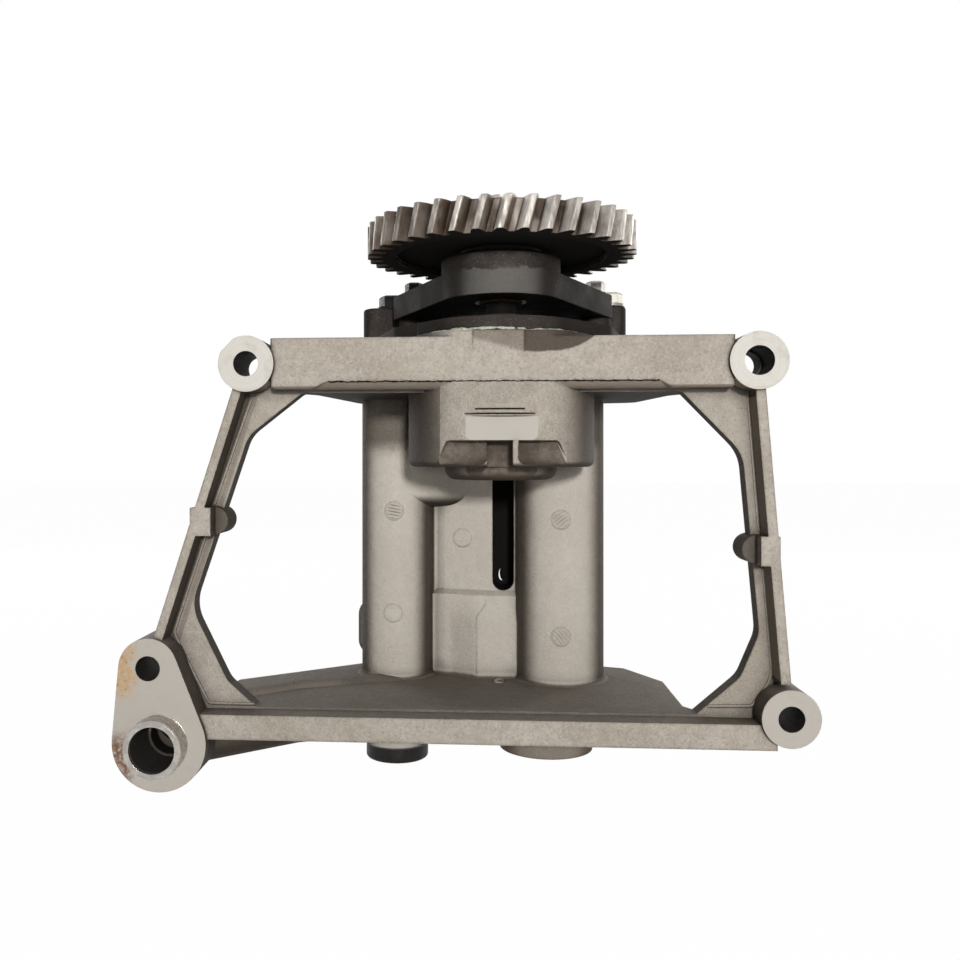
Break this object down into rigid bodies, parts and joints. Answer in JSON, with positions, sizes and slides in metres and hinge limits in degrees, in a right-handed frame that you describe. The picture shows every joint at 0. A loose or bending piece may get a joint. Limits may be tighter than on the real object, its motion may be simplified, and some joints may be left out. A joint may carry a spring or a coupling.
{
  "type": "engine oil pump",
  "caption": "Gear oil pump hung in a cast bracket, with a helical drive gear, an outlet sleeve and a relief valve.",
  "frame": {"origin": "centre of the drive gear, on the drive axis", "axes": "+Z along the drive shaft away from the pump, +X to the right, -Y towards the crankcase"},
  "size_m": [0.3034, 0.151, 0.2779],
  "materials": {
    "cast_aluminium": "sand cast, satin with machined faces",
    "cast_iron": "as cast, oiled",
    "gear_steel": "hobbed",
    "bright_steel": "ground",
    "black_steel": "black oxide",
    "zinc_steel": "zinc plated",
    "bronze": "turned",
    "gasket_paper": "matt",
    "seal_rubber": "matt"
  },
  "bodies": {
    "root": {"pump_bracket": "cast_aluminium", "pump_cover": "cast_iron", "cover_gasket": "gasket_paper", "gear_carrier": "cast_iron", "carrier_bush": "bronze", "thrust_washer": "bronze", "bracket_bushes": "bronze", "cover_bushes": "bronze", "cover_bolt_left": "black_steel", "cover_bolt_right": "zinc_steel", "cover_bolts_rear": "zinc_steel", "cover_screws_front": "black_steel", "carrier_bolt_left": "black_steel", "carrier_bolt_right": "zinc_steel", "dowel_pins": "bright_steel", "outlet_sleeve": "bright_steel", "sleeve_seal": "seal_rubber", "plate_ball": "bright_steel", "relief_spring": "bright_steel", "relief_plug": "black_steel", "plug_seal": "seal_rubber"},
    "drive_train": {"drive_gear": "gear_steel", "drive_shaft": "bright_steel", "gear_key": "bright_steel", "gear_washer": "zinc_steel", "gear_nut": "zinc_steel", "driving_pump_gear": "bright_steel", "pump_gear_key": "bright_steel"},
    "driven_rotor": {"driven_pump_gear": "bright_steel", "driven_shaft": "bright_steel"},
    "relief_valve": {"relief_piston": "bright_steel"}
  },
  "joints": [
    {"name": "drive_spin", "type": "hinge", "parent": "root", "child": "drive_train", "pos_m": [0, 0, 0], "axis": [0, 0, 1], "continuous": true},
    {"name": "driven_spin", "type": "hinge", "parent": "root", "child": "driven_rotor", "pos_m": [0, 0.044, 0], "axis": [0, 0, 1], "continuous": true},
    {"name": "relief_slide", "type": "slide", "parent": "root", "child": "relief_valve", "axis": [0, 0, -1], "range_m": [0, 0.0032], "stiffness_N_per_m": 4000, "springref_m": -0.004, "deforming": ["relief_spring"]}
  ],
  "couplings": [
    {"joint": "driven_spin", "follows": "drive_spin", "ratio": -1}
  ]
}
